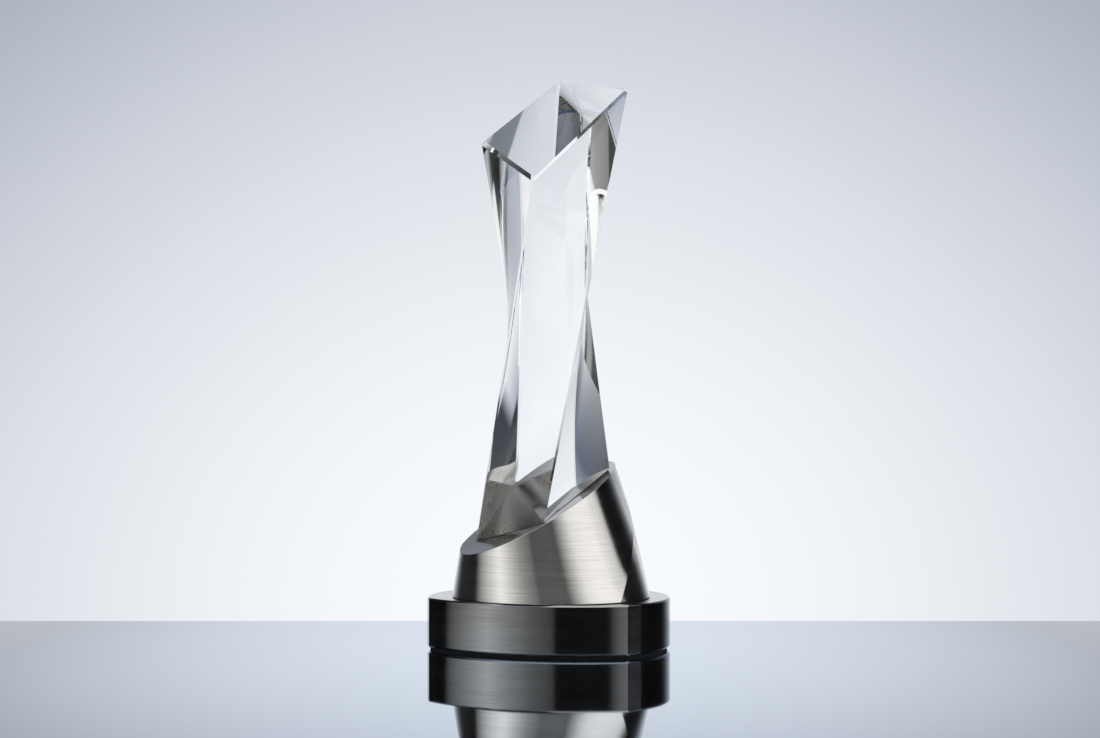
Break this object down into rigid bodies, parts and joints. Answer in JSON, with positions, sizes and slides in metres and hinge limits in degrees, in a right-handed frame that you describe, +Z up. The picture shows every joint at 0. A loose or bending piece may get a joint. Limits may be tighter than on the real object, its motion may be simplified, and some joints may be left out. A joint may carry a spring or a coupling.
{
  "type": "crystal award",
  "caption": "Free-standing award: a twisted square crystal column with a slanted top on a slant-cut brushed metal collar and a low weighted plinth.",
  "frame": {"origin": "centre of the pad's flat underside, on the axis of the plinth's round outline", "axes": "+Z up, +X to the right seen from the front, +Y away from the front towards the back"},
  "size_m": [0.12, 0.1089, 0.283],
  "materials": {
    "optical_crystal": "polished clear crystal",
    "clear_bond": "clear cured adhesive",
    "collar_nickel": "brushed nickel finish",
    "gasket_rubber": "matt black",
    "plinth_gunmetal": "brushed gunmetal finish",
    "ballast_steel": "dull mill finish",
    "zinc_steel": "zinc plated",
    "ground_steel": "ground",
    "base_steel": "dull mill finish",
    "black_felt": "matt black felt"
  },
  "bodies": {
    "root": {"crystal": "optical_crystal", "bond_film": "clear_bond", "collar": "collar_nickel", "collar_gasket": "gasket_rubber", "plinth": "plinth_gunmetal", "ballast_plate": "ballast_steel", "clamp_bolt": "zinc_steel", "flat_washer": "zinc_steel", "spring_washer": "zinc_steel", "dowel_pins": "ground_steel", "base_plate": "base_steel", "base_plate_screws": "zinc_steel", "felt_pad": "black_felt"}
  },
  "joints": []
}
